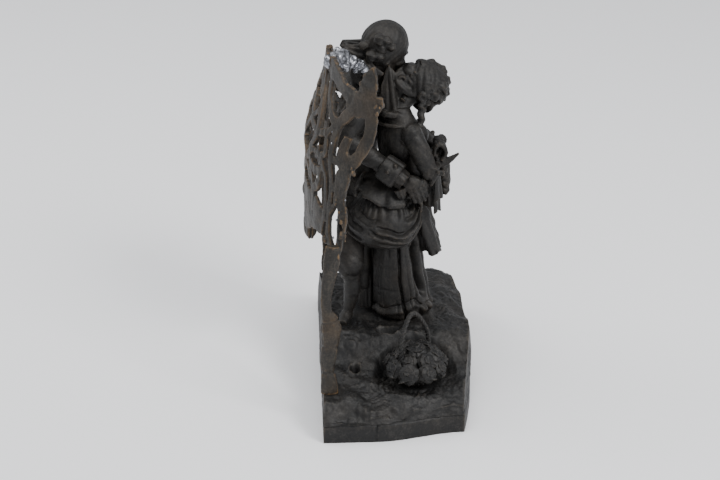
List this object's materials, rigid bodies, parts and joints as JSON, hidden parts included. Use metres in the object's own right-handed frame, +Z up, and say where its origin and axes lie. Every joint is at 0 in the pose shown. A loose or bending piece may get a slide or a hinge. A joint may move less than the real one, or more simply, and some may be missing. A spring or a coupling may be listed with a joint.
{
  "type": "cast figure group statue",
  "caption": "Dark patinated cast statue of a couple in court dress before a pierced arbour screen, on a rock mound with a rose basket.",
  "frame": {"origin": "middle of the mound's flat underside", "axes": "+Z up; +X along the mound's length, away from the basket; -Y the front, away from the screen"},
  "size_m": [0.2706, 0.1545, 0.3337],
  "materials": {
    "bronze": "near-black brown patina, dull, worn to a golden brown on raised edges; a silvery solder repair on the screen's crest"
  },
  "bodies": {
    "root": {"rock_mound": "bronze", "courting_couple": "bronze", "arbour_screen": "bronze", "rose_basket": "bronze"}
  },
  "joints": []
}
